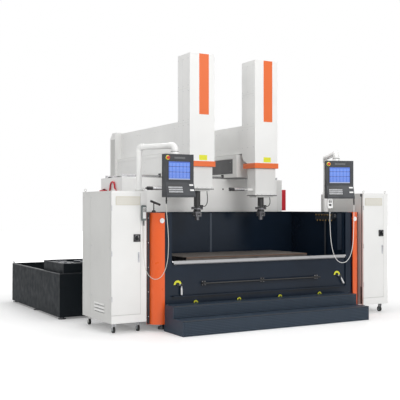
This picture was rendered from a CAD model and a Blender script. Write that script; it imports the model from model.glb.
"""Studio scene of a twin head electrical discharge machine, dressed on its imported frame."""

import math

import bmesh
import bpy
from mathutils import Matrix, Vector


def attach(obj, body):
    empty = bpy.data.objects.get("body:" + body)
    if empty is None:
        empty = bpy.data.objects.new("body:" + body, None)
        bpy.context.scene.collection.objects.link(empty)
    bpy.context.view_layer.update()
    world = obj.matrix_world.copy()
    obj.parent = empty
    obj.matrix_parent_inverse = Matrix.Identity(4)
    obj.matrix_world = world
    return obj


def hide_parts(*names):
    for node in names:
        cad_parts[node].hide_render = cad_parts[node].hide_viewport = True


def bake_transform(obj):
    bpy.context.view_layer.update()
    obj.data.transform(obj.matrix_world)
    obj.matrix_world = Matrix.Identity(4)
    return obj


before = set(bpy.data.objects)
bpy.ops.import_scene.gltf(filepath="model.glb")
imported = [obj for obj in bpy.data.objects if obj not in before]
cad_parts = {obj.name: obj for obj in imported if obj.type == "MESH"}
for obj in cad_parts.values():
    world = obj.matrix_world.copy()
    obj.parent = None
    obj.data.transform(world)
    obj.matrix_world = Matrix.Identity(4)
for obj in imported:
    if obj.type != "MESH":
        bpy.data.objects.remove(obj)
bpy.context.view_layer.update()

# Machine frame to row frame: X from the tank's middle, Y from the tank's front plane
SHIFT = Vector((0.0725, -1.8255, 0.0))
UP, FRONT, BACK, RIGHT, LEFT = (0, 0, 1), (0, -1, 0), (0, 1, 0), (1, 0, 0), (-1, 0, 0)


def at(x, y, z):
    return Vector((x, y, z)) + SHIFT


# Materials

def new_material(name, color, rough, metal=0.0, coat=0.0, coat_rough=0.05, specular=0.5):
    m = bpy.data.materials.new(name)
    m.use_nodes = True
    p = m.node_tree.nodes["Principled BSDF"]
    p.inputs["Base Color"].default_value = (*color, 1)
    p.inputs["Roughness"].default_value = rough
    p.inputs["Metallic"].default_value = metal
    p.inputs["Coat Weight"].default_value = coat
    p.inputs["Coat Roughness"].default_value = coat_rough
    p.inputs["Specular IOR Level"].default_value = specular
    return m


class Nodes:
    """Short ways to add nodes to one material."""

    def __init__(self, material):
        self.tree = material.node_tree
        self.shader = self.tree.nodes["Principled BSDF"]
        self.coord = self.add("ShaderNodeTexCoord")

    def add(self, kind, **values):
        node = self.tree.nodes.new(kind)
        for key, value in values.items():
            setattr(node, key, value)
        return node

    def link(self, a, b):
        self.tree.links.new(a, b)

    def place(self):
        return self.coord.outputs["Object"]

    def noise(self, scale, detail=3.0, stretch=None):
        n = self.add("ShaderNodeTexNoise")
        n.inputs["Scale"].default_value = scale
        n.inputs["Detail"].default_value = detail
        source = self.place()
        if stretch:
            mapping = self.add("ShaderNodeMapping")
            mapping.inputs["Scale"].default_value = stretch
            self.link(source, mapping.inputs["Vector"])
            source = mapping.outputs["Vector"]
        self.link(source, n.inputs["Vector"])
        return n.outputs["Fac"]

    def ramp(self, fac, low, high, a, b):
        r = self.add("ShaderNodeMapRange")
        r.inputs["From Min"].default_value = low
        r.inputs["From Max"].default_value = high
        r.inputs["To Min"].default_value = a
        r.inputs["To Max"].default_value = b
        self.link(fac, r.inputs["Value"])
        return r.outputs["Result"]

    def mix(self, fac, a, b):
        m = self.add("ShaderNodeMix", data_type="RGBA")
        for value, socket in ((fac, m.inputs[0]), (a, m.inputs[6]), (b, m.inputs[7])):
            if isinstance(value, tuple):
                socket.default_value = (*value, 1)
            elif isinstance(value, (int, float)):
                socket.default_value = value
            else:
                self.link(value, socket)
        return m.outputs[2]

    def math(self, operation, a, b=None):
        m = self.add("ShaderNodeMath", operation=operation)
        for value, socket in ((a, m.inputs[0]), (b, m.inputs[1])):
            if value is None:
                continue
            if isinstance(value, (int, float)):
                socket.default_value = value
            else:
                self.link(value, socket)
        return m.outputs[0]

    def axes(self):
        s = self.add("ShaderNodeSeparateXYZ")
        self.link(self.place(), s.inputs[0])
        return s.outputs

    def between(self, value, low, high):
        """1 where value lies between low and high."""
        return self.math("MULTIPLY", self.math("GREATER_THAN", value, low),
                         self.math("LESS_THAN", value, high))

    def bump(self, height, strength, distance):
        b = self.add("ShaderNodeBump")
        b.inputs["Strength"].default_value = strength
        b.inputs["Distance"].default_value = distance
        self.link(height, b.inputs["Height"])
        self.link(b.outputs["Normal"], self.shader.inputs["Normal"])

    def color(self, socket):
        self.link(socket, self.shader.inputs["Base Color"])

    def rough(self, socket):
        self.link(socket, self.shader.inputs["Roughness"])


def shade(color, k):
    return tuple(min(1.0, c * k) for c in color)


def paint(name, color, rough=0.38, coat=0.25, peel=0.12, dirt=0.06, specular=0.5):
    """Sprayed machine paint: fine orange peel, faint tone change and uneven gloss."""
    m = new_material(name, color, rough, coat=coat, coat_rough=0.12, specular=specular)
    n = Nodes(m)
    n.color(n.mix(n.ramp(n.noise(1.7, 4.0), 0.3, 0.7, 0.0, 1.0), shade(color, 1 - dirt), color))
    n.rough(n.ramp(n.noise(9.0, 5.0), 0.3, 0.7, rough * 0.85, rough * 1.2))
    n.bump(n.noise(420.0, 2.0), peel, 0.0006)
    return m


def metal(name, color, rough=0.25, stretch=(1, 60, 60), line=0.25):
    """Ground or brushed metal with fine lines along one direction."""
    m = new_material(name, color, rough, metal=1.0)
    n = Nodes(m)
    lines = n.noise(18.0, 6.0, stretch)
    n.color(n.mix(n.ramp(lines, 0.3, 0.7, 0.0, 1.0), shade(color, 0.82), color))
    n.rough(n.ramp(lines, 0.3, 0.7, rough * 0.7, rough * 1.4))
    n.bump(lines, line, 0.0004)
    return m


def plastic(name, color, rough=0.45, grain=900.0):
    """Moulded plastic with a fine spark eroded grain."""
    m = new_material(name, color, rough)
    n = Nodes(m)
    n.color(n.mix(n.noise(3.0, 2.0), shade(color, 0.93), color))
    n.rough(n.ramp(n.noise(30.0, 3.0), 0.3, 0.7, rough * 0.9, rough * 1.15))
    n.bump(n.noise(grain, 2.0), 0.15, 0.0004)
    return m


WHITE = (0.90, 0.90, 0.885)
GREY_WHITE = (0.60, 0.60, 0.58)
NAVY = (0.009, 0.018, 0.034)
DARK = (0.012, 0.016, 0.022)
ORANGE = (0.81, 0.110, 0.010)
STRIPE = (0.82, 0.155, 0.030)
CRIMSON = (0.62, 0.003, 0.020)
BLACK = (0.012, 0.012, 0.013)
YELLOW = (0.80, 0.80, 0.03)

white_paint = paint("white_paint", WHITE, 0.36)
casting_paint = paint("casting_paint", (0.80, 0.80, 0.785), 0.42, peel=0.25)
navy_gloss = paint("navy_gloss", NAVY, 0.22, coat=0.06, peel=0.05, dirt=0.25, specular=0.28)
dark_paint = paint("dark_paint", DARK, 0.45, peel=0.2, dirt=0.3)
orange_paint = paint("orange_paint", ORANGE, 0.32, coat=0.25, dirt=0.02)
stripe_paint = paint("stripe_paint", STRIPE, 0.36, coat=0.1, dirt=0.02)
crimson_paint = paint("crimson_paint", CRIMSON, 0.42, coat=0.05)
graphite_paint = paint("graphite_paint", (0.12, 0.12, 0.125), 0.5, coat=0.05)
black_paint = paint("black_paint", BLACK, 0.40, peel=0.3)
yellow_paint = paint("yellow_paint", YELLOW, 0.35)
module_paint = paint("module_paint", (0.22, 0.25, 0.29), 0.5)
beige_plastic = plastic("beige_plastic", (0.72, 0.69, 0.60), 0.5)
white_plastic = plastic("white_plastic", (0.86, 0.86, 0.85), 0.4)
black_plastic = plastic("black_plastic", (0.016, 0.016, 0.018), 0.42)
grey_plastic = plastic("grey_plastic", (0.15, 0.18, 0.18), 0.5)
key_plastic = plastic("key_plastic", (0.55, 0.56, 0.58), 0.4)
orange_plastic = plastic("orange_plastic", (0.80, 0.13, 0.025), 0.32)
red_plastic = plastic("red_plastic", (0.55, 0.01, 0.012), 0.3)
cord_plastic = plastic("cord_plastic", (0.62, 0.62, 0.58), 0.45)
rubber = plastic("rubber", (0.014, 0.014, 0.014), 0.65)
steel = metal("steel", (0.60, 0.60, 0.61), 0.24)
dark_steel = metal("dark_steel", (0.18, 0.18, 0.19), 0.35)
chrome = metal("chrome", (0.84, 0.84, 0.86), 0.10, line=0.05)
brass = metal("brass", (0.78, 0.52, 0.20), 0.25)
zinc = metal("zinc", (0.66, 0.67, 0.70), 0.3, (1, 1, 1))


def tread_material():
    """Dark checker plate: raised lens shaped bars in two directions."""
    m = new_material("checker_plate", (0.014, 0.026, 0.044), 0.42, coat=0.05, specular=0.3)
    n = Nodes(m)
    x, y, z = n.axes()
    run = n.math("ADD", y, z)
    pitch, narrow, long = 0.042, 5.5, 2.1

    def wave(operation, sign, offset):
        step = n.math("DIVIDE", n.math(operation, x, n.math("MULTIPLY", run, sign)), pitch)
        return n.math("ABSOLUTE", n.math("SUBTRACT", n.math("FRACT", n.math("ADD", step, offset)), 0.5))

    bars = []
    for sign, offset in ((1.0, 0.0), (-1.0, 0.5)):
        across = n.math("MULTIPLY", wave("ADD", sign, offset), narrow)
        along = n.math("MULTIPLY", wave("SUBTRACT", sign, offset), long)
        bars.append(n.math("MAXIMUM", n.math("SUBTRACT", 1.0, n.math("ADD", across, along)), 0.0))
    height = n.math("MAXIMUM", *bars)
    top = n.ramp(height, 0.0, 0.5, 0.0, 1.0)
    n.color(n.mix(top, (0.006, 0.013, 0.024), (0.085, 0.130, 0.190)))
    n.rough(n.ramp(n.noise(25.0, 4.0), 0.3, 0.7, 0.35, 0.5))
    n.bump(height, 0.8, 0.004)
    return m


def screen_material(name, box_low, box_high, turn):
    """Lit display: generic blue window with plain bars and fields."""
    m = new_material(name, (0.10, 0.18, 0.55), 0.12, coat=0.6)
    n = Nodes(m)
    shift = n.add("ShaderNodeVectorRotate", rotation_type="Z_AXIS")
    shift.inputs["Angle"].default_value = -turn
    n.link(n.place(), shift.inputs["Vector"])
    sep = n.add("ShaderNodeSeparateXYZ")
    n.link(shift.outputs["Vector"], sep.inputs[0])
    u = n.ramp(sep.outputs[0], box_low[0], box_high[0], 0.0, 1.0)
    v = n.ramp(sep.outputs[2], box_low[1], box_high[1], 0.0, 1.0)
    base = n.mix(v, (0.06, 0.13, 0.46), (0.08, 0.18, 0.58))
    for low, high, color in ((0.40, 0.44, (0.03, 0.06, 0.26)), (0.70, 0.74, (0.03, 0.06, 0.26)),
                             (0.93, 0.985, (0.05, 0.10, 0.38)), (0.0, 0.06, (0.30, 0.34, 0.46))):
        base = n.mix(n.between(v, low, high), base, color)
    fields = n.math("MULTIPLY", n.between(n.math("FRACT", n.math("MULTIPLY", u, 6.0)), 0.18, 0.86),
                    n.between(n.math("FRACT", n.math("MULTIPLY", v, 14.0)), 0.30, 0.72))
    inside = n.math("MULTIPLY", n.between(u, 0.05, 0.95), n.between(v, 0.10, 0.90))
    base = n.mix(n.math("MULTIPLY", n.math("MULTIPLY", fields, inside), 0.40), base, (0.30, 0.42, 0.80))
    n.color(base)
    n.link(base, n.shader.inputs["Emission Color"])
    n.shader.inputs["Emission Strength"].default_value = 0.40
    return m


# Geometry helpers

def finish_mesh(name, bm, material, body, smooth=True):
    mesh = bpy.data.meshes.new(name)
    bm.normal_update()
    bm.to_mesh(mesh)
    bm.free()
    ob = bpy.data.objects.new(name, mesh)
    bpy.context.scene.collection.objects.link(ob)
    mesh.materials.append(material)
    for poly in mesh.polygons:
        poly.use_smooth = smooth
    if body:
        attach(ob, body)
    return ob


def bevel(ob, width, segments=2):
    mod = ob.modifiers.new("Bevel", "BEVEL")
    mod.width = width
    mod.segments = segments
    mod.limit_method = "ANGLE"
    mod.angle_limit = math.radians(40)
    mod.harden_normals = True


def turn_to(axis):
    return Vector((0, 0, 1)).rotation_difference(Vector(axis).normalized()).to_matrix().to_4x4()


def loft(bm, rings):
    """Faces between closed rings of vertices, with a cap on each end."""
    for one, two in zip(rings, rings[1:]):
        for k in range(len(one)):
            j = (k + 1) % len(one)
            bm.faces.new((one[k], one[j], two[j], two[k]))
    bm.faces.new(list(reversed(rings[0])))
    bm.faces.new(rings[-1])


def add_lathe(bm, base, axis, profile, segments):
    """Turned part: profile is a list of (radius, distance along axis)."""
    m = Matrix.Translation(Vector(base)) @ turn_to(axis)
    angles = [2 * math.pi * k / segments for k in range(segments)]
    loft(bm, [[bm.verts.new(m @ Vector((r * math.cos(a), r * math.sin(a), h))) for a in angles]
              for r, h in profile])


def boxes(name, items, material, body, width=0.003, segments=2, base=Matrix.Translation(SHIFT)):
    """Boxes from x0, y0, z0, x1, y1, z1 in the machine frame, or in another frame given as base."""
    bm = bmesh.new()
    for x0, y0, z0, x1, y1, z1 in items:
        middle = Matrix.Translation(((x0 + x1) / 2, (y0 + y1) / 2, (z0 + z1) / 2))
        size = Matrix.Diagonal((x1 - x0, y1 - y0, z1 - z0, 1))
        bmesh.ops.create_cube(bm, size=1.0, matrix=base @ middle @ size)
    ob = finish_mesh(name, bm, material, body, smooth=False)
    if width:
        bevel(ob, width, segments)


def both_sides(x, half, thick, items):
    """Plates from y0, z0 to y1, z1 at half to the left and to the right of x."""
    return [(x + k * half - thick, y0, z0, x + k * half + thick, y1, z1)
            for k in (-1, 1) for y0, z0, y1, z1 in items]


def rim(x0, y0, x1, y1, z0, z1, w):
    """Four lying bars around a rectangle."""
    return [(x0, y0, z0, x0 + w, y1, z1), (x1 - w, y0, z0, x1, y1, z1),
            (x0 + w, y0, z0, x1 - w, y0 + w, z1), (x0 + w, y1 - w, z0, x1 - w, y1, z1)]


def frame_bars(x0, z0, x1, z1, y0, y1, w):
    """Four bars of an upright frame."""
    return [(x0, y0, z0, x1, y1, z0 + w), (x0, y0, z1 - w, x1, y1, z1),
            (x0, y0, z0 + w, x0 + w, y1, z1 - w), (x1 - w, y0, z0 + w, x1, y1, z1 - w)]


def bolts(name, places, axis, r, body, material=zinc):
    """Socket head screws: round heads with a recess."""
    bm = bmesh.new()
    for p in places:
        add_lathe(bm, p, axis, [(r, 0), (r, r * 0.75), (r * 0.88, r * 0.95), (r * 0.55, r * 0.95),
                                (r * 0.50, r * 0.50)], 24)
    finish_mesh(name, bm, material, body)


def lathe(name, base, axis, profile, material, body, segments=48):
    bm = bmesh.new()
    add_lathe(bm, base, axis, profile, segments)
    bevel(finish_mesh(name, bm, material, body), 0.0008)


def tube(name, points, radius, material, body):
    """Bent pipe as a curve with one spline."""
    curve = bpy.data.curves.new(name, "CURVE")
    curve.dimensions = "3D"
    curve.bevel_depth = radius
    curve.bevel_resolution = 5
    curve.use_fill_caps = True
    spline = curve.splines.new("POLY")
    spline.points.add(len(points) - 1)
    for point, co in zip(spline.points, points):
        point.co = (*co, 1)
    ob = bpy.data.objects.new(name, curve)
    bpy.context.scene.collection.objects.link(ob)
    curve.materials.append(material)
    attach(ob, body)


def smooth_route(points, steps=6):
    """Catmull Rom curve through the points, as in the part's own cords."""
    p = [Vector(q) for q in points]
    out = []
    for k in range(len(p) - 1):
        a, b, c, d = p[max(k - 1, 0)], p[k], p[k + 1], p[min(k + 2, len(p) - 1)]
        for j in range(steps):
            t = j / steps
            out.append(0.5 * (2 * b + (c - a) * t + (2 * a - 5 * b + 4 * c - d) * t * t
                              + (3 * b - a - 3 * c + d) * t ** 3))
    out.append(p[-1])
    return out


def dress(node, material, width=0.0, segments=2):
    """Gives a CAD node its material and softly broken edges."""
    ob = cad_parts[node]
    ob.data.materials.clear()
    ob.data.materials.append(material)
    if width:
        bevel(ob, width, segments)


# Camera: fitted to the photograph's straight edges

PIXELS, SENSOR, FOCAL, RISE = 400, 36.0, 768.07, 1.16
YAW, PITCH = math.radians(29.459), math.radians(0.466)
cam_data = bpy.data.cameras.new("camera")
cam_data.sensor_width = SENSOR
cam_data.lens = FOCAL / PIXELS * SENSOR
cam_data.shift_y = RISE / PIXELS
cam_data.clip_end = 100
camera = bpy.data.objects.new("camera", cam_data)
camera.location = at(-6.286, -9.230, 1.663)
forward = Vector((math.sin(YAW) * math.cos(PITCH), math.cos(YAW) * math.cos(PITCH), math.sin(PITCH)))
camera.rotation_euler = forward.to_track_quat("-Z", "Y").to_euler()
bpy.context.scene.collection.objects.link(camera)
bpy.context.scene.camera = camera

# Pendant cords, on the same routes as the part's solids

CORD_LEFT = [(-1900, 58, 1420), (-1900, 58, 1370), (-1900, 58, 1320), (-1902, 54, 1150),
             (-1905, 44, 1010), (-1906, 10, 880), (-1897, -50, 790), (-1877, -125, 738),
             (-1848, -205, 724), (-1814, -282, 760), (-1783, -338, 850), (-1762, -368, 980),
             (-1755, -379, 1140), (-1757, -380, 1300), (-1770, -376, 1480), (-1781, -370, 1620),
             (-1781, -370, 1670), (-1781, -370, 1710)]
CORD_RIGHT = [(-128, -90, 1584), (-128, -90, 1540), (-128, -90, 1490), (-120, -92, 1290),
              (-108, -94, 1150), (-84, -96, 1020), (-46, -98, 920), (6, -98, 862), (68, -98, 845),
              (130, -96, 868), (182, -92, 940), (216, -88, 1050), (234, -84, 1180), (242, -80, 1320),
              (246, -78, 1460), (248, -76, 1580), (248, -76, 1660), (248, -76, 1700)]
TURN = (0.0, -math.radians(21))
DROP = (at(-1.646, -0.343, 0), at(1.120, -0.250, 0))
# A screen's own frame: drop pipe at zero, screen facing forwards
SCREEN = [Matrix.Translation(drop) @ Matrix.Rotation(turn, 4, "Z") for drop, turn in zip(DROP, TURN)]

left_points = smooth_route([at(*(v / 1000 for v in p)) for p in CORD_LEFT])
right_points = smooth_route([SCREEN[1] @ Vector([v / 1000 for v in p]) for p in CORD_RIGHT])


def round_cord(name, node, points, radius, material, body):
    """Round cord swept along the points, in the place of the part's own solid."""
    sides = 12
    bm = bmesh.new()
    rings = []
    normal = None
    for k, p in enumerate(points):
        t = (points[min(k + 1, len(points) - 1)] - points[max(k - 1, 0)]).normalized()
        if normal is None:
            normal = t.cross(Vector((0, 1, 0))).normalized()
        normal = (normal - t * normal.dot(t)).normalized()
        other = t.cross(normal)
        rings.append([bm.verts.new(p + radius * (normal * math.cos(a) + other * math.sin(a)))
                      for a in (2 * math.pi * j / sides for j in range(sides))])
    loft(bm, rings)
    ob = finish_mesh(name, bm, material, body)
    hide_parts(node)
    return ob


cord_l = round_cord("pendant_lead_left", "pendant_cord_left", left_points, 0.004, cord_plastic, None)
round_cord("pendant_lead_right", "pendant_cord_right", right_points, 0.004, white_plastic, "screen_right")
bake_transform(cord_l)

# Standing machine: bed, rails, screw, feet, guard

dress("machine_bed", white_paint, 0.012, 3)
dress("x_guide_rails", steel, 0.001)
dress("x_ball_screw", chrome)
dress("bed_end_guard", crimson_paint, 0.002)
dress("leveling_feet", dark_steel, 0.002)

BED_X, BED_Y0, BED_Y1, BED_TOP = 1.506, 1.678, 2.531, 2.134
X_RAILS = (1.758, 2.406)
boxes("bed_side_covers", both_sides(0, BED_X + 0.001, 0.002, [
    (BED_Y0 + 0.12, 0.30 + k * 0.60, BED_Y1 - 0.12, 0.78 + k * 0.60) for k in range(2)]),
    casting_paint, "machine", 0.002)
bolts("bed_side_cover_bolts", [
    at(side * (BED_X + 0.003), y, z)
    for side in (-1, 1) for k in range(2)
    for y in (BED_Y0 + 0.15, BED_Y1 - 0.15) for z in (0.34 + k * 0.60, 0.74 + k * 0.60)],
    RIGHT, 0.008, "machine")
boxes("bed_rear_covers", [
    (-1.36 + k * 0.70, BED_Y1 - 0.001, 0.40, -0.76 + k * 0.70, BED_Y1 + 0.003, 1.70)
    for k in range(4)], casting_paint, "machine", 0.002)
bolts("bed_rear_cover_bolts", [
    at(-1.33 + k * 0.70 + dx, BED_Y1 + 0.003, z)
    for k in range(4) for dx in (0, 0.54) for z in (0.44, 1.05, 1.66)], BACK, 0.008, "machine")
bolts("x_rail_bolts", [
    at(-1.40 + k * 0.10, y + 0.0225, BED_TOP + 0.0405)
    for k in range(29) for y in X_RAILS], UP, 0.0058, "machine", dark_steel)
boxes("bed_rail_seats", [
    (-BED_X + 0.02, y - 0.03, BED_TOP - 0.001, BED_X - 0.02, y + 0.075, BED_TOP + 0.004)
    for y in X_RAILS], steel, "machine", 0.001)
boxes("bed_end_stops", [
    (side * 1.455 - 0.02, y, BED_TOP, side * 1.455 + 0.02, y + 0.05, BED_TOP + 0.018)
    for side in (-1, 1) for y in (1.90, 2.26)], black_paint, "machine", 0.003)
boxes("bed_front_strip", [
    (1.402, BED_Y0 - 0.0015, 1.60, BED_X - 0.004, BED_Y0 + 0.001, BED_TOP - 0.014)],
    casting_paint, "machine", 0.0008)


def screw_thread():
    """Helical groove of the X ball screw, drawn as a fine raised helix."""
    bm = bmesh.new()
    r, pitch, sides, length, y, z = 0.0253, 0.020, 20, 2.44, 2.1045, 2.084
    previous = None
    for k in range(int(length / pitch) * sides + 1):
        a = 2 * math.pi * k / sides
        x = -length / 2 + pitch * k / sides
        ring = [bm.verts.new(at(x + dx, y + (r + dr) * math.cos(a), z + (r + dr) * math.sin(a)))
                for dx, dr in ((-0.004, -0.001), (-0.002, 0.0), (0.002, 0.0), (0.004, -0.001))]
        if previous:
            for j in range(3):
                bm.faces.new((previous[j], previous[j + 1], ring[j + 1], ring[j]))
        previous = ring
    finish_mesh("x_screw_thread", bm, steel, "machine")


screw_thread()

# Tank

dress("tank_shell", navy_gloss, 0.002)
dress("corner_posts", orange_paint, 0.003)
dress("work_table", metal("ground_table", (0.21, 0.185, 0.165), 0.42, (1, 40, 1)), 0.002)
dress("table_pedestals", dark_steel, 0.003)
dress("flushing_manifold", dark_paint, 0.003)
dress("tank_lamp", black_paint, 0.003)

HALF, TANK_TOP, TANK_D = 1.630, 1.590, 1.560

# Plain round caps on the corner covers and their screws
for side, word in ((-1, "left"), (1, "right")):
    lathe("corner_badge_" + word, at(side * 1.672, -0.0335, 1.485), FRONT,
          [(0.0345, -0.002), (0.0345, 0.0005), (0.033, 0.0015), (0.030, 0.0018), (0.029, 0.001)],
          white_plastic, "machine")
    boxes("corner_flange_" + word, [
        (side * 1.8165 - 0.0205, 0.0905, 0.097, side * 1.8165 + 0.0205, 0.1060, TANK_TOP - 0.001)],
        dark_paint, "machine", 0.002)
    bolts("corner_flange_bolts_" + word, [at(side * 1.818, 0.0905, 0.20 + k * 0.33) for k in range(5)],
          FRONT, 0.006, "machine")
    boxes("corner_cap_" + word, [
        (side * 1.715 - 0.082, 0.040, TANK_TOP - 0.001, side * 1.715 + 0.030, 0.092, TANK_TOP + 0.002)],
        orange_paint, "machine", 0.001)

# Door seal, rim trim, wall strips, level gauge and ribs
boxes("tank_seal", [
    (-1.50, 0.0535, 0.872, 1.50, 0.062, 0.896),
    (-1.515, 0.0535, 0.24, -1.500, 0.062, 0.896),
    (1.500, 0.0535, 0.24, 1.515, 0.062, 0.896)], rubber, "machine", 0.002)
boxes("tank_rim_trim", [
    (-HALF - 0.003, TANK_D - 0.012, TANK_TOP - 0.014, HALF + 0.003, TANK_D + 0.003, TANK_TOP + 0.003),
    (-HALF - 0.003, 0.105, TANK_TOP - 0.014, -HALF + 0.012, TANK_D - 0.012, TANK_TOP + 0.003),
    (HALF - 0.012, 0.105, TANK_TOP - 0.014, HALF + 0.003, TANK_D - 0.012, TANK_TOP + 0.003)],
    dark_paint, "machine", 0.003)
boxes("tank_wall_strips", [
    (1.606, 0.215, 0.99, 1.6185, 0.313, 1.574),
    (-1.6185, 0.215, 0.99, -1.606, 0.313, 1.574),
    (-0.02, 1.540, 0.79, 0.02, 1.5485, 1.574)], paint("strip_paint", (0.035, 0.050, 0.075), 0.3),
    "machine", 0.003)
boxes("tank_level_gauge", [
    (-0.86, 1.536, 1.02, -0.82, 1.5485, 1.50),
    (-0.855, 1.532, 1.03, -0.825, 1.5365, 1.49)], black_plastic, "machine", 0.002)
boxes("tank_rear_ribs", [
    (-1.45 + k * 0.58, TANK_D - 0.001, 0.80, -1.41 + k * 0.58, TANK_D + 0.022, 1.55)
    for k in range(6)], navy_gloss, "machine", 0.003)
boxes("tank_side_ribs", [
    (-HALF - 0.022, 0.62 + k * 0.40, 0.14, -HALF + 0.001, 0.66 + k * 0.40, 1.55)
    for k in range(2)] + [
    (HALF - 0.001, 0.95 + k * 0.30, 0.40, HALF + 0.022, 0.99 + k * 0.30, 1.55)
    for k in range(2)], navy_gloss, "machine", 0.003)


# Drain valve dials above the upper tread: yellow half rings with ticks, and a knob

def half_dial(name, x, y, z, r, body, depth):
    inner, outer, steps, ticks = r * 0.50, r * 0.97, 24, 7
    bm = bmesh.new()
    loft(bm, [[bm.verts.new(at(x + q * math.cos(a), y - e, z + q * math.sin(a)))
               for q, e in ((inner, 0), (outer, 0), (outer, depth), (inner, depth))]
              for a in (math.pi * k / steps for k in range(steps + 1))])
    bevel(finish_mesh(name, bm, yellow_paint, body, smooth=False), 0.0006, 1)
    bm = bmesh.new()
    for k in range(ticks):
        turn = Matrix.Translation(at(x, y, z)) @ Matrix.Rotation(-math.pi * (k + 0.5) / ticks, 4, "Y")
        place = turn @ Matrix.Translation((r * 0.80, -depth + 0.0003, 0))
        bmesh.ops.create_cube(bm, size=1.0, matrix=place @ Matrix.Diagonal((r * 0.2, 0.0008, r * 0.05, 1)))
    finish_mesh(name + "_ticks", bm, black_paint, body, smooth=False)


for k, x in enumerate((-1.147, -0.443, 0.265, 0.992)):
    half_dial(f"valve_dial_{k}", x, -0.0138, 0.3580, 0.034, "machine", 0.002)
    lathe(f"valve_knob_{k}", at(x, -0.014, 0.369), FRONT,
          [(0.008, 0), (0.008, 0.010), (0.0065, 0.013)], black_plastic, "machine")

# Manifold: brass valves with knurled heads and outlet nozzles
for k in range(6):
    y = 0.376 + 0.44 * (k + 0.5) / 6
    lathe(f"manifold_valve_{k}", at(1.5585, y, 1.539), LEFT,
          [(0.0125, -0.002), (0.0125, 0.006), (0.009, 0.007), (0.009, 0.012), (0.014, 0.013),
           (0.014, 0.021), (0.011, 0.0225)], brass, "machine", 12)
    lathe(f"manifold_nozzle_{k}", at(1.574, y, 1.4665), (0, 0, -1),
          [(0.008, -0.002), (0.008, 0.010), (0.006, 0.011), (0.006, 0.022)], brass, "machine", 16)
boxes("manifold_brackets", [
    (1.600, 0.352, 1.50, 1.6185, 0.377, 1.56), (1.600, 0.815, 1.50, 1.6185, 0.840, 1.56)],
    steel, "machine", 0.002)
bolts("manifold_bolts", [at(1.600, y, z) for y in (0.362, 0.828) for z in (1.515, 1.545)],
      LEFT, 0.005, "machine")

# Table's front edge and stop bolts
boxes("table_front_edge", [(-1.070, 0.398, 0.936, 1.070, 0.4005, 0.9495)],
      paint("edge_paint", (0.17, 0.095, 0.060), 0.5, coat=0.0), "machine", 0.001)
bolts("table_stop_bolts", [at(-1.0 + k * 0.25, 0.400, 0.885) for k in range(9)], FRONT, 0.008, "machine")

# Steps: checker plate treads and risers with folded nosings
checker = tread_material()
dress("front_steps", checker, 0.002)
boxes("step_plates", [
    (-1.626, -0.5535, 0.006, 1.481, -0.5505, 0.197),
    (-1.626, -0.5500, 0.1990, 1.481, -0.2805, 0.2020),
    (-1.626, -0.2805, 0.2025, 1.481, -0.2775, 0.354),
    (-1.626, -0.2770, 0.3560, 1.481, -0.0160, 0.3585)], checker, "machine", 0.0008, 1)
boxes("step_nosings", [
    (-1.630, -0.5545, 0.192, 1.485, -0.5480, 0.2032),
    (-1.630, -0.2815, 0.349, 1.485, -0.2750, 0.3602)], dark_paint, "machine", 0.0025, 3)
bolts("step_bolts", [at(-1.60 + k * 0.612, y, z)
                     for k in range(6) for y, z in ((-0.53, 0.2015), (-0.04, 0.358))],
      UP, 0.006, "machine", dark_steel)

# Lamp on the corner post
LX, LY = -1.75375, 0.0565
lathe("lamp_dome", at(LX, LY, 1.609), UP,
      [(0.0278, 0), (0.0275, 0.004), (0.024, 0.011), (0.016, 0.016), (0.009, 0.019), (0.0075, 0.026)],
      black_plastic, "machine")
for s in (-1, 1):
    d = Vector((math.cos(math.radians(20)), 0, -math.sin(math.radians(20))))
    mid = at(LX, LY, 1.732) + d * 0.025
    lathe(f"lamp_head_ring_{'a' if s < 0 else 'b'}", mid + d * (0.0735 if s > 0 else -0.0755), d,
          [(0.0158, 0), (0.0165, 0.001), (0.0165, 0.0015), (0.0150, 0.002)], dark_steel, "machine", 32)

# Red lubrication pipe and oiler on the bed's left end
tube("oil_pipe_loop", [at(-1.522, y, z) for y, z in (
    (2.16, 1.885), (2.135, 1.925), (2.115, 1.970), (2.105, 2.020), (2.075, 2.055), (2.020, 2.066),
    (1.965, 2.055), (1.940, 2.015), (1.930, 1.970), (1.890, 1.930), (1.840, 1.900), (1.800, 1.885))],
    0.013, crimson_paint, "machine")
boxes("oiler_body", [(-1.556, 2.270, 1.800, -1.5055, 2.480, 1.945)], crimson_paint, "machine", 0.006, 3)
boxes("oiler_cap", [(-1.548, 2.330, 1.9452, -1.514, 2.372, 1.962)], black_plastic, "machine", 0.003, 2)

# Door, rail, lifting bar and clamps

dress("tank_door", navy_gloss, 0.002)
dress("door_rail", chrome, 0.003, 3)
dress("door_handle", black_paint, 0.002)
boxes("door_frame_strips", [
    (-1.500, 0.0155, 0.232, 1.500, 0.0185, 0.262),
    (-1.500, 0.0155, 0.850, 1.500, 0.0185, 0.874)], navy_gloss, "door", 0.001)
bolts("door_rail_screws", [at(-1.40 + k * 0.40, -0.0160, 0.9125) for k in range(8)], FRONT, 0.0045, "door")
boxes("door_rail_lip", [(-1.487, -0.0185, 0.8885, 1.487, -0.0155, 0.8985)], dark_steel, "door", 0.001)
boxes("handle_feet", [
    (x - 0.032, 0.006, 0.584, x + 0.032, 0.0185, 0.648) for x in (-1.010, -0.035, 0.940)],
    black_paint, "door", 0.004, 3)
bolts("handle_bolts", [at(x + dx, 0.006, 0.616 + dz) for x in (-1.010, -0.035, 0.940)
                       for dx in (-0.022, 0.022) for dz in (-0.022, 0.022)], FRONT, 0.0045, "door")
for x, word in ((-1.042, "left"), (0.971, "right")):
    lathe("handle_end_" + word, at(x, -0.042, 0.616), RIGHT,
          [(0.009, -0.006), (0.0135, -0.003), (0.0138, 0.003), (0.0135, 0.008)], black_plastic, "door", 32)
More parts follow.
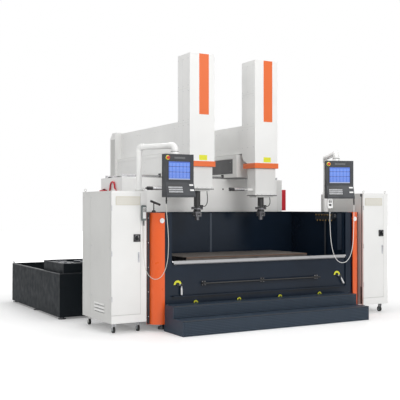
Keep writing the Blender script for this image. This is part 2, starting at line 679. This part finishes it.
LEVERS = (("left", -1.415, 0.612, 0.0, 0.0), ("right", 1.345, 0.630, -18.0, 30.0))
for word, x, z, crank, hang in LEVERS:
    dress("clamp_lever_" + word, zinc, 0.0015)
    half_dial("clamp_dial_" + word, x, 0.0120, z, 0.062, "door", 0.00215)
    body = "lever_" + word
    c, s = math.cos(math.radians(crank)), math.sin(math.radians(crank))
    end = at(x + 0.046 * c, -0.0023 - 0.015, z + 0.046 * s)
    way = Vector((math.sin(math.radians(hang)), 0, -math.cos(math.radians(hang))))
    lathe("lever_grip_" + word, end + way * 0.040, way,
          [(0.0085, 0), (0.0095, 0.003), (0.0115, 0.030), (0.0128, 0.070), (0.0130, 0.090),
           (0.0110, 0.0985), (0.007, 0.1015)], white_plastic, body)
    lathe("lever_hub_" + word, at(x, -0.0026, z), FRONT,
          [(0.019, -0.004), (0.019, 0.0), (0.0175, 0.002), (0.010, 0.0022), (0.0095, 0.0005)],
          black_plastic, body)
    lathe("lever_pivot_" + word, end + Vector((0, -0.0085, 0)), FRONT,
          [(0.0195, -0.006), (0.0195, 0.001), (0.0175, 0.003), (0.008, 0.0035)], black_plastic, body)

# Heads

HEADS = (("left", "l", -0.536, 1.937), ("right", "r", 0.636, 1.846))
STRIPE_LOW = {"left": 3.075, "right": 3.022}
LAMP_ROD = {"left": (0.672, 0.018), "right": (0.426, 0.113)}
LAMP_Y, LAMP_Z, QUILL_Y = 1.004, 1.947, 1.042


def column_material(x):
    """White sheet metal column with its orange collar."""
    m = paint("column_" + ("left" if x < 0 else "right"), WHITE, 0.34)
    n = Nodes(m)
    z = n.axes()[2]
    low = n.math("LESS_THAN", z, 2.3655)
    tone = n.mix(n.ramp(n.noise(1.7, 4.0), 0.3, 0.7, 0.0, 1.0), shade(WHITE, 0.95), WHITE)
    n.color(n.mix(low, tone, STRIPE))
    return m


for word, s, x, cz in HEADS:
    saddle, ram, slide, quill, chuck = (f"saddle_{s}", f"ram_{s}", f"z_slide_{s}", f"quill_{s}", f"chuck_{s}")
    dress("saddle_" + word, white_paint, 0.008, 3)
    dress("ram_" + word, white_paint, 0.006, 3)
    dress("head_housing_" + word, column_material(x), 0.006, 3)
    dress("z_slide_" + word, casting_paint, 0.004, 3)
    dress("quill_" + word, black_paint, 0.002)
    dress("chuck_" + word, dark_steel, 0.002, 3)
    # Column: orange stripe, plain yellow plate, cover seams and screws
    boxes("column_stripe_" + word, [(x - 0.053, 0.8785, STRIPE_LOW[word], x + 0.115, 0.8815, 3.9955)],
          stripe_paint, ram, 0.0008, 1)
    boxes("column_plate_" + word, [(x - 0.0545, 0.8780, 2.380, x + 0.0855, 0.8815, 2.458)],
          yellow_paint, ram, 0.0012, 2)
    boxes("column_seams_" + word,
          both_sides(x, 0.2149, 0.0009, [(0.905, z - 0.002, 1.250, z + 0.002) for z in (2.95, 3.47)])
          + both_sides(x, 0.2150, 0.0008, [(1.115, 2.55, 1.118, 3.93)]), casting_paint, ram, 0)
    for tag, k in (("a_", -1), ("b_", 1)):
        bolts("column_screws_" + tag + word, [
            at(x + k * 0.2146, y, z) for y in (0.93, 1.09, 1.24)
            for z in (2.62, 2.91, 2.99, 3.43, 3.51, 3.92)], (k, 0, 0), 0.005, ram)
    boxes("column_back_grille_" + word, [
        (x - 0.12, 1.264, 3.30 + k * 0.030, x + 0.12, 1.270, 3.312 + k * 0.030) for k in range(12)],
        casting_paint, ram, 0.001)
    boxes("collar_wipers_" + word, [
        (x - 0.200, 0.898, 2.2815, x + 0.200, 0.9005, 2.2850),
        (x - 0.205, 0.898, 2.2815, x - 0.1945, 1.145, 2.2850),
        (x + 0.1945, 0.898, 2.2815, x + 0.205, 1.145, 2.2850)], rubber, ram, 0.0006)
    # Z casting: dark strip, flange cover and screws
    boxes("casting_strip_" + word, [(x + 0.1895, 0.912, cz + 0.042, x + 0.1930, 1.128, cz + 0.80)],
          dark_paint, slide, 0.001)
    boxes("casting_flange_cover_" + word, [
        (x - 0.2095, 0.8855, cz + 0.001, x + 0.2085, 1.134, cz + 0.012)], black_paint, slide, 0.002)
    bolts("flange_screws_" + word, [at(x + dx, 0.8880, cz + 0.028) for dx in (-0.17, -0.085, 0, 0.085, 0.17)],
          FRONT, 0.006, slide)
    # Electrode lamp on its rod
    reach, tip = LAMP_ROD[word]
    lx = x - 0.191 - reach
    lathe("lamp_barrel_" + word, at(lx - 0.001, LAMP_Y, LAMP_Z), RIGHT,
          [(0.016, -0.004), (0.0245, 0.0), (0.0270, 0.004), (0.0270, 0.020), (0.0260, 0.022),
           (0.0260, 0.060), (0.0270, 0.062), (0.0270, 0.084), (0.0230, 0.089)], black_plastic, slide)
    lathe("lamp_body_" + word, at(lx + 0.086, LAMP_Y, LAMP_Z), RIGHT,
          [(0.0205, 0.0), (0.0235, 0.003), (0.0235, 0.180), (0.0220, 0.186), (0.0205, 0.188)], steel, slide)
    lathe("lamp_tip_" + word, at(lx - tip - 0.012, LAMP_Y, LAMP_Z), RIGHT,
          [(0.002, 0.0), (0.008, 0.002), (0.0118, 0.007), (0.0125, 0.012), (0.0105, 0.019), (0.0065, 0.023)],
          black_plastic, slide)
    # Quill: foot screws and boss cover
    bolts("quill_foot_screws_" + word, [
        at(x + 0.074 * math.cos(a), QUILL_Y + 0.074 * math.sin(a), 1.6700)
        for a in (math.radians(30 + 60 * k) for k in range(6))], UP, 0.006, quill)
    boxes("quill_boss_cover_" + word, [
        (x + 0.049, 1.0265, 1.6705, x + 0.0996, 1.0575, 1.7005)], black_plastic, quill, 0.003)
    # Chuck: steel ring, collar, adjusting knobs and set screws
    lathe("chuck_ring_" + word, at(x, QUILL_Y, 1.632), UP,
          [(0.0895, -0.0004), (0.0908, 0.002), (0.0908, 0.018), (0.0895, 0.0212)], dark_steel, chuck, 64)
    lathe("chuck_collar_" + word, at(x, QUILL_Y, 1.5985), UP,
          [(0.0505, 0.0), (0.058, 0.003), (0.058, 0.020), (0.0505, 0.023)], black_paint, chuck, 48)
    for k in range(4):
        a = math.pi / 2 * k
        d = Vector((math.cos(a), math.sin(a), 0))
        lathe(f"chuck_knob_{word}_{k}", at(x, QUILL_Y, 1.5607) + d * 0.0700, d,
              [(0.0095, 0), (0.0095, 0.002), (0.013, 0.003), (0.013, 0.013), (0.011, 0.0145)],
              black_plastic, chuck, 24)
        lathe(f"chuck_set_screw_{word}_{k}", at(x, QUILL_Y, 1.535) + d * 0.0488, d,
              [(0.0065, 0), (0.0065, 0.006), (0.005, 0.0072)], zinc, chuck, 16)
    # Ram: side covers with screws
    boxes("ram_side_covers_" + word, both_sides(x, 0.2152, 0.0012, [
        (1.34 + j * 0.69, 2.60, 1.98 + j * 0.69, 2.92) for j in range(3)]), white_paint, ram, 0.0008, 1)
    for tag, k in (("", 1), ("b_", -1)):
        bolts("ram_cover_screws_" + tag + word, [
            at(x + k * 0.2160, 1.37 + j * 0.69 + dy, z)
            for j in range(3) for dy in (0, 0.58) for z in (2.63, 2.89)], (k, 0, 0), 0.005, ram)
    # Saddle: rail wipers, side covers, motor box sides, vents and connector, ends of the Y rails
    boxes("saddle_rail_wipers_" + word, both_sides(x, 0.2735, 0.006, [
        (y - 0.014, 2.1575, y + 0.059, 2.205) for y in X_RAILS]), rubber, saddle, 0.002)
    boxes("saddle_side_covers_" + word, both_sides(x, 0.2708, 0.0012, [
        (1.46 + j * 0.98, 2.215, 2.42 + j * 0.98, 2.455) for j in range(2)]),
        white_paint if word == "left" else graphite_paint, saddle, 0.0008, 1)
    for tag, k in (("", 1), ("b_", -1)):
        bolts("saddle_cover_screws_" + tag + word, [
            at(x + k * 0.2718, 1.53 + j * 0.95 + dy, z)
            for j in range(2) for dy in (0, 0.80) for z in (2.26, 2.405)], (k, 0, 0), 0.005, saddle)
    boxes("motor_box_side_" + word, both_sides(x, 0.3225, 0.0012, [(3.475, 2.235, 3.660, 2.88)]),
          paint("motor_side_" + word, GREY_WHITE, 0.4), saddle, 0.001, 1)
    boxes("motor_box_vents_" + word, [
        (x - 0.20, 3.6905, 2.32 + k * 0.026, x + 0.20, 3.6955, 2.331 + k * 0.026) for k in range(14)],
        casting_paint, saddle, 0.001)
    lathe("motor_connector_" + word, at(x + 0.22, 3.688, 2.75), BACK,
          [(0.024, 0), (0.024, 0.004), (0.019, 0.005), (0.019, 0.009), (0.014, 0.010)], black_plastic,
          saddle, 24)
    boxes("y_rail_ends_" + word, both_sides(x, 0.150, 0.020, [(1.372, 2.5195, 1.380, 2.5245)]),
          dark_steel, saddle, 0.0008)

# Head hoses, on the routes of the part's solids
HOSES = {
    "left": [(176, 162, 1937), (176, 162, 1915), (176, 162, 1895), (180, 162, 1860), (184, 162, 1810),
             (182, 162, 1760), (174, 162, 1722), (156, 162, 1694), (136, 162, 1682), (124, 162, 1680),
             (112, 162, 1680), (100, 162, 1680)],
    "right": [(176, 162, 1846), (176, 162, 1830), (176, 162, 1814), (180, 162, 1786), (182, 162, 1752),
              (175, 162, 1718), (157, 162, 1693), (136, 162, 1682), (124, 162, 1680), (112, 162, 1680),
              (100, 162, 1680)],
}
for word, s, x, cz in HEADS:
    pts = smooth_route([at(x + a / 1000, 0.880 + b / 1000, c / 1000) for a, b, c in HOSES[word]])
    hose = round_cord("flushing_hose_" + word, "head_hose_" + word, pts, 0.006, rubber, None)
    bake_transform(hose)

# Reservoir

reservoir_paint = paint("reservoir_paint", (0.006, 0.010, 0.014), 0.55, coat=0.0, dirt=0.2, specular=0.22)
dress("dielectric_reservoir", reservoir_paint, 0.003)
dress("filter_housing", reservoir_paint, 0.004)
fluid = new_material("dielectric_fluid", (0.16, 0.13, 0.06), 0.05, coat=0.8)
ripples = Nodes(fluid)
ripples.bump(ripples.noise(3.5, 3.0), 0.25, 0.02)
boxes("reservoir_fluid", [
    (-2.487, 2.650, 0.45, -1.613, 4.190, 0.455),
    (-2.487, 1.706, 0.45, -2.431, 2.650, 0.455),
    (-1.669, 1.706, 0.45, -1.613, 2.650, 0.455)], fluid, "machine", 0)
for k in range(2):
    for j in range(3):
        lathe(f"filter_canister_{k}_{j}", at(-2.235 + 0.37 * k, 1.88 + 0.30 * j, 0.794), UP,
              [(0.125, 0), (0.125, 0.012), (0.118, 0.018), (0.060, 0.020), (0.020, 0.021), (0.020, 0.029)],
              navy_gloss, "machine")
boxes("filter_lid_rim", rim(-2.432, 1.7195, -1.668, 2.651, 0.815, 0.8275, 0.020), dark_paint, "machine")
lathe("pump_motor", at(-2.05, 2.765, 0.50), UP,
      [(0.0925, 0), (0.0925, 0.06), (0.085, 0.065), (0.085, 0.085), (0.0648, 0.088), (0.0648, 0.158),
       (0.055, 0.166)], navy_gloss, "machine")
boxes("reservoir_rim_trim", rim(-2.503, 1.690, -1.597, 4.206, 0.668, 0.683, 0.029), dark_paint, "machine")

# Power cabinets

CABINETS = (("left", "l", -2.355, 0.083, 0.062), ("right", "r", 1.849, -0.020, 0.039))
CABINET_W, CABINET_D = 0.506, 1.049
CASING_GREY = (0.70, 0.70, 0.68)
MODULE_PITCH = (1.881 - 0.136 - 0.030) / 4
WHEELS_X, WHEEL_R = (0.075, 0.431), 0.040
WHEEL_DISC = [(0.028, 0), (0.028, 0.0008), (0.026, 0.0014), (0.0135, 0.0014), (0.0125, 0.0018)]
SIDES = ((-1, "n"), (1, "p"))
side_paint = paint("cabinet_side_paint", CASING_GREY, 0.4)

dress("power_modules", module_paint, 0.003)
for word, s, x0, y0, vent_dx in CABINETS:
    door = "cabinet_door_" + s
    dress("cabinet_shell_" + word, paint("cabinet_" + word, CASING_GREY, 0.42, coat=0.1), 0.003, 3)
    dress("cabinet_door_" + word, paint("cabinet_door_" + word, (0.88, 0.88, 0.865), 0.36), 0.0025, 3)
    dress("isolator_knob_" + word, black_plastic, 0.003, 3)
    # Vent panel: beige frame with slats
    vx, vz = x0 + vent_dx, 1.695
    boxes("vent_frame_" + word, frame_bars(vx - 0.002, vz - 0.002, vx + 0.348, vz + 0.114,
                                           y0 - 0.0065, y0 - 0.001, 0.010), beige_plastic, door, 0.001)
    boxes("vent_slats_" + word, [
        (vx + 0.006, y0 - 0.0055, z, vx + 0.340, y0 - 0.0035, z + 0.006)
        for z in (vz + 0.0105 + k * 0.0095 for k in range(10))], beige_plastic, door, 0.0006, 1)
    # Main switch: black plate, ring and marker line
    sx, sz = x0 + 0.36424, 1.256
    boxes("switch_plate_" + word, [(sx - 0.0500, y0 - 0.0105, sz - 0.05, sx + 0.0500, y0 - 0.002, sz + 0.05)],
          black_plastic, door, 0.003, 3)
    lathe("switch_ring_" + word, at(sx, y0 - 0.0102, sz), FRONT,
          [(0.0395, -0.001), (0.0395, 0.001), (0.036, 0.0022), (0.0335, 0.0016), (0.0335, 0.0)],
          dark_steel, door)
    boxes("switch_mark_" + word, [(sx - 0.0015, y0 - 0.0466, sz + 0.006, sx + 0.0015, y0 - 0.0458, sz + 0.028)],
          white_plastic, "switch_" + word, 0)
    # Door latch, hinges and the white frame around the door
    boxes("door_latch_" + word, [
        (x0 + 0.380, y0 - 0.004, 0.93, x0 + 0.404, y0 + 0.001, 1.07),
        (x0 + 0.385, y0 - 0.016, 0.97, x0 + 0.399, y0 - 0.003, 1.055)], zinc, door, 0.002, 3)
    for k in range(3):
        lathe(f"door_hinge_{word}_{k}", at(x0 + 0.007, y0 + 0.001, 0.42 + k * 0.60), UP,
              [(0.0035, 0), (0.0052, 0.001), (0.0052, 0.069), (0.0035, 0.070)], zinc, door, 20)
    boxes("kick_front_" + word, [
        (x0 + dx, y0 - 0.0008, low, x0 + 0.505, y0 + 0.001, high) for dx, low, high in (
            (0.001, 0.1375, 0.238), (0.001, 1.8520, 1.8800), (0.4205, 0.2385, 1.8515))],
        white_paint, "machine", 0.0006, 1)
    # Side panels with screws, louvre hoods, rear panel with grille and roof seam
    boxes("side_panels_" + word, [
        (x0 + dx - 0.0022, y0 + front, low, x0 + dx + 0.0022, y0 + back, 1.832) for dx, front, back, low in (
            (0, 0.045, 0.715, 0.42), (CABINET_W, 0.045, 0.715, 0.42),
            (0, 0.740, 1.005, 0.17), (CABINET_W, 0.740, 1.005, 0.42))], side_paint, "machine", 0.0012, 2)
    bolts("side_screws_" + word, [at(x0 - 0.0020, y0 + dy, z) for dy in (0.065, 0.695, 0.755, 0.99)
                                  for z in (0.45, 1.13, 1.80)], LEFT, 0.005, "machine")
    boxes("louvre_hoods_" + word, [
        (x0 - 0.007, y0 + 0.236, 0.257 + k * 0.046, x0 + 0.002, y0 + 0.594, 0.285 + k * 0.046)
        for k in range(3)], white_paint, "machine", 0.0012)
    if word == "right":
        boxes("shaded_side_right", [(x0 - 0.0012, y0 + 0.030, 0.15, x0 - 0.0001, y0 + 0.066, 1.875)],
              dark_paint, "machine", 0.0006, 1)
    back = y0 + CABINET_D
    boxes("rear_panel_" + word, [(x0 + 0.020, back - 0.001, 0.20, x0 + 0.486, back + 0.003, 1.84)],
          side_paint, "machine", 0.0012)
    boxes("rear_fan_grilles_" + word, [
        (x0 + 0.09, back + 0.0025, 1.50 + k * 0.018, x0 + 0.416, back + 0.0055, 1.508 + k * 0.018)
        for k in range(14)], black_plastic, "machine", 0.001)
    boxes("roof_seam_" + word, [(x0 + 0.014, y0 + 0.014, 1.880, x0 + 0.492, back - 0.014, 1.8825)],
          side_paint, "machine", 0.0008, 1)
    # Module fronts with handles, seen when the door is open
    my = back - 0.015 - 0.420
    shelves = [0.151 + k * MODULE_PITCH for k in range(4)]
    boxes("module_handles_" + word, [
        (x + 0.085, my - 0.020, z + 0.12, x + 0.101, my - 0.0005, z + 0.33)
        for z in shelves for x in (x0, x0 + 0.32)], zinc, "machine", 0.004, 3)
    boxes("module_panels_" + word, [
        (x0 + 0.115, my - 0.003, z + 0.09, x0 + 0.391, my + 0.001, z + 0.37) for z in shelves],
        side_paint, "machine", 0.0012)
    for k, z in enumerate(shelves):
        for j, color in enumerate((yellow_paint, red_plastic, white_plastic)):
            lathe(f"module_lamp_{word}_{k}_{j}", at(x0 + 0.15 + j * 0.03, my - 0.0028, z + 0.34), FRONT,
                  [(0.005, -0.001), (0.005, 0.003), (0.003, 0.005)], color, "machine", 16)
    # Casters and rear wheels
    for tag, dx in zip("ab", WHEELS_X):
        dress(f"caster_fork_{word}_{tag}", zinc, 0.0008)
        dress(f"caster_wheel_{word}_{tag}", rubber, 0.003, 3)
        for side, end in SIDES:
            lathe(f"wheel_disc_{word}_{tag}_{end}", at(x0 + dx + side * 0.0135, y0 + 0.112, WHEEL_R),
                  (side, 0, 0), WHEEL_DISC, grey_plastic, f"wheel_{word}_{tag}", 32)
            lathe(f"axle_nut_{word}_{tag}_{end}", at(x0 + dx + side * 0.0208, y0 + 0.112, WHEEL_R),
                  (side, 0, 0), [(0.0085, 0), (0.0085, 0.004), (0.007, 0.0055)], zinc, f"fork_{word}_{tag}", 6)
    dress("rear_wheels_" + word, rubber, 0.003, 3)
    for j, dx in enumerate(WHEELS_X):
        for side, end in SIDES:
            lathe(f"rear_disc_{word}_{j}_{end}", at(x0 + dx + side * 0.0135, y0 + 0.981, WHEEL_R),
                  (side, 0, 0), WHEEL_DISC, grey_plastic, "rear_wheels_" + s, 32)

# Screen arms

for word in ("left", "right"):
    dress("screen_arm_" + word, white_paint, 0.003, 3)
lathe("arm_socket_ring", at(-1.930, 0.150, 1.9255), UP,
      [(0.0545, -0.030), (0.0560, -0.028), (0.0560, -0.004), (0.0540, 0.0)], white_paint, "machine")
bolts("arm_socket_bolts", [at(-1.930 + 0.0535 * math.cos(a), 0.150 + 0.0535 * math.sin(a), 1.905)
                           for a in (0.4, 2.5, 4.6)], FRONT, 0.005, "machine")
for k, z in enumerate((1.080, 1.500)):
    bolts(f"arm_bracket_bolts_{k}", [at(1.658, y, z + 0.0405) for y in (0.70, 0.74)], UP, 0.006, "machine")

# Control screens

case_paint = paint("screen_case_paint", (0.024, 0.027, 0.033), 0.48, coat=0.0, peel=0.3)
for side, word, body in ((0, "left", "arm_left"), (1, "right", "screen_right")):
    case = SCREEN[side]
    facing = case.to_3x3() @ Vector(FRONT)
    dress("screen_housing_" + word, case_paint, 0.004, 3)
    dress("estop_" + word, orange_plastic, 0.002, 3)
    # The display's own turned coordinates, worked out at rest
    own = Matrix.Rotation(-TURN[side], 4, "Z") @ DROP[side]
    glass = screen_material("display_" + word, (own.x - 0.127, 2.023), (own.x + 0.187, 2.258), TURN[side])
    boxes("display_glass_" + word, [(-0.1265, -0.0766, 2.0235, 0.1865, -0.0745, 2.2575)],
          glass, body, 0.0006, 1, case)
    boxes("display_bezel_" + word, frame_bars(-0.139, 2.011, 0.199, 2.270, -0.0795, -0.0765, 0.0125),
          black_plastic, body, 0.001, 2, case)
    # Emergency stop: yellow collar and mushroom head
    lathe("estop_collar_" + word, case @ Vector((-0.140, -0.0768, 2.306)), facing,
          [(0.0295, -0.001), (0.0295, 0.0004), (0.028, 0.0012), (0.0105, 0.0012)], yellow_paint, body)
    lathe("estop_head_" + word, case @ Vector((-0.140, -0.0965, 2.306)), facing,
          [(0.0212, -0.010), (0.0218, -0.006), (0.0212, -0.002), (0.017, 0.0008), (0.009, 0.0014)],
          red_plastic, "stop_" + word)
    boxes("blank_plate_" + word, [(-0.045, -0.0785, 2.294, 0.115, -0.0765, 2.318)],
          paint("blank_plate_paint_" + word, (0.10, 0.105, 0.11), 0.35), body, 0.001, 2, case)
    # Sloping console: key panel, rows of keys and two white keys
    console = (case @ Matrix.Translation((0, -0.077, 1.985))
               @ Matrix.Rotation(-math.atan2(0.058, 0.165), 4, "X"))
    boxes("key_panel_" + word, [(-0.150, -0.002, -0.155, 0.060, 0, -0.030)], black_plastic, body,
          0.0008, 2, console)
    boxes("keys_" + word, [
        (-0.142 + k * 0.0186, -0.0055, -0.078 - j * 0.030, -0.128 + k * 0.0186, 0, -0.058 - j * 0.030)
        for k in range(11) for j in range(3)], key_plastic, body, 0.0008, 2, console)
    boxes("white_keys_" + word, [(0.168, -0.006, z - 0.022, 0.226, 0, z) for z in (-0.022, -0.094)],
          white_plastic, body, 0.0008, 2, console)
    boxes("housing_seam_" + word, [
        (-0.1725, 0.006, 1.81, -0.1708, 0.008, 2.34), (0.2408, 0.006, 1.81, 0.2425, 0.008, 2.34)],
        black_plastic, body, 0, base=case)
    boxes("housing_vents_" + word, [
        (-0.09, 0.0315, 1.92 + k * 0.016, 0.16, 0.0345, 1.928 + k * 0.016) for k in range(12)],
        black_plastic, body, 0.0008, 2, case)
    lathe("housing_socket_" + word, case @ Vector((0, 0, 2.3555)), UP,
          [(0.0565, 0), (0.0565, 0.006), (0.0550, 0.008), (0.0550, 0.030), (0.0525, 0.0355)], white_paint, body)
for word, base, body, r, collar, end in (
        ("left", at(-1.781, -0.370, 1.7105), "arm_left", 0.0110, 0.050, 0.084),
        ("right", SCREEN[1] @ Vector((0.248, -0.076, 1.7005)), "screen_right", 0.0108, 0.060, 0.112)):
    lathe("lead_gland_" + word, base, UP, [
        (0.0065, 0), (0.0095, 0.004), (0.0095, 0.030), (r, 0.032), (r, collar), (0.0095, collar + 0.002),
        (0.0095, end)], black_plastic, body, 24)

# Handsets

HANDSET_T = 0.036


def handset(word, base, w, h, body, material, face, half, low, high):
    """Keys, front panel and strain relief ridges; half, low and high place the panel as shares of w and h."""
    dress("pendant_" + word, material, 0.003, 3)
    boxes("handset_keys_" + word, [
        (w * (0.32 * k - 0.27), -0.0062, h * (0.5575 + 0.065 * j),
         w * (0.32 * k - 0.05), -0.0022, h * (0.6025 + 0.065 * j)) for k in range(2) for j in range(4)],
        black_plastic, body, 0.0008, 2, base)
    boxes("handset_panel_" + word, [(-half * w, -0.0033, low * h, half * w, -0.0003, high * h)],
          face, body, 0.001, 2, base)
    bm = bmesh.new()
    relief, r = base @ Vector((0, HANDSET_T / 2, -0.0655)), w / 7
    for k in range(6):
        add_lathe(bm, relief + Vector((0, 0, 0.004 + 0.010 * k)), UP,
                  [(r * 1.01, 0), (r * 1.10, 0.0015), (r * 1.10, 0.005), (r * 1.01, 0.0065)], 24)
    finish_mesh("handset_relief_" + word, bm, rubber, body)


handset("left", Matrix.Translation(at(-1.900, 0.040, 1.486)), 0.062, 0.206, "machine",
        grey_plastic, white_plastic, 0.37, 0.14, 0.86)
handset("right", SCREEN[1] @ Matrix.Translation((-0.128, -0.108, 1.650)), 0.078, 0.145, "screen_right",
        white_plastic, black_plastic, 0.25, 0.24, 0.43)

# Floor, light and background

FLOOR_GLOW = 0.18
FLOOR_FAR = (3.2, 11.0)


def stage_floor():
    """White floor that brightens to the background's white with distance, for the camera alone."""
    bm = bmesh.new()
    bmesh.ops.create_grid(bm, x_segments=1, y_segments=1, size=40)
    m = new_material("floor_white", (0.88, 0.88, 0.88), 0.6)
    ob = finish_mesh("floor", bm, m, None, smooth=False)
    n = Nodes(m)
    far = n.add("ShaderNodeVectorMath", operation="LENGTH")
    n.link(n.place(), far.inputs[0])
    glow = n.math("MULTIPLY", n.add("ShaderNodeLightPath").outputs["Is Camera Ray"],
                  n.ramp(far.outputs["Value"], *FLOOR_FAR, FLOOR_GLOW, 1.0))
    n.shader.inputs["Emission Color"].default_value = (1, 1, 1, 1)
    n.link(glow, n.shader.inputs["Emission Strength"])


stage_floor()


def area_light(name, location, target, size, power):
    data = bpy.data.lights.new(name, "AREA")
    data.size = size
    data.energy = power
    ob = bpy.data.objects.new(name, data)
    ob.location = location
    ob.rotation_euler = (Vector(target) - Vector(location)).to_track_quat("-Z", "Y").to_euler()
    bpy.context.scene.collection.objects.link(ob)


area_light("key_light", (0.5, -10.5, 6.0), (0, -0.3, 1.5), 5.0, 470)
area_light("fill_light", (-8.5, -3.0, 5.0), (0, 0, 1.5), 5.0, 130)
area_light("top_light", (0, 0.5, 9.0), (0, 0.2, 0), 7.0, 330)

# The background is white to the camera, in glass and in reflections, and dimmer as a lamp
WORLD_LAMP = 0.42
world = bpy.data.worlds.new("studio")
world.use_nodes = True
bpy.context.scene.world = world
tree = world.node_tree
ray = tree.nodes.new("ShaderNodeLightPath")
shown = ray.outputs["Is Camera Ray"]
for kind in ("Is Transmission Ray", "Is Glossy Ray"):
    either = tree.nodes.new("ShaderNodeMath")
    either.operation = "MAXIMUM"
    tree.links.new(shown, either.inputs[0])
    tree.links.new(ray.outputs[kind], either.inputs[1])
    shown = either.outputs[0]
strength = tree.nodes.new("ShaderNodeMapRange")
strength.inputs["To Min"].default_value = WORLD_LAMP
strength.inputs["To Max"].default_value = 1.0
tree.links.new(shown, strength.inputs["Value"])
background = tree.nodes["Background"]
tree.links.new(strength.outputs["Result"], background.inputs["Strength"])
background.inputs["Color"].default_value = (1, 1, 1, 1)

bpy.context.scene.view_settings.view_transform = "Standard"
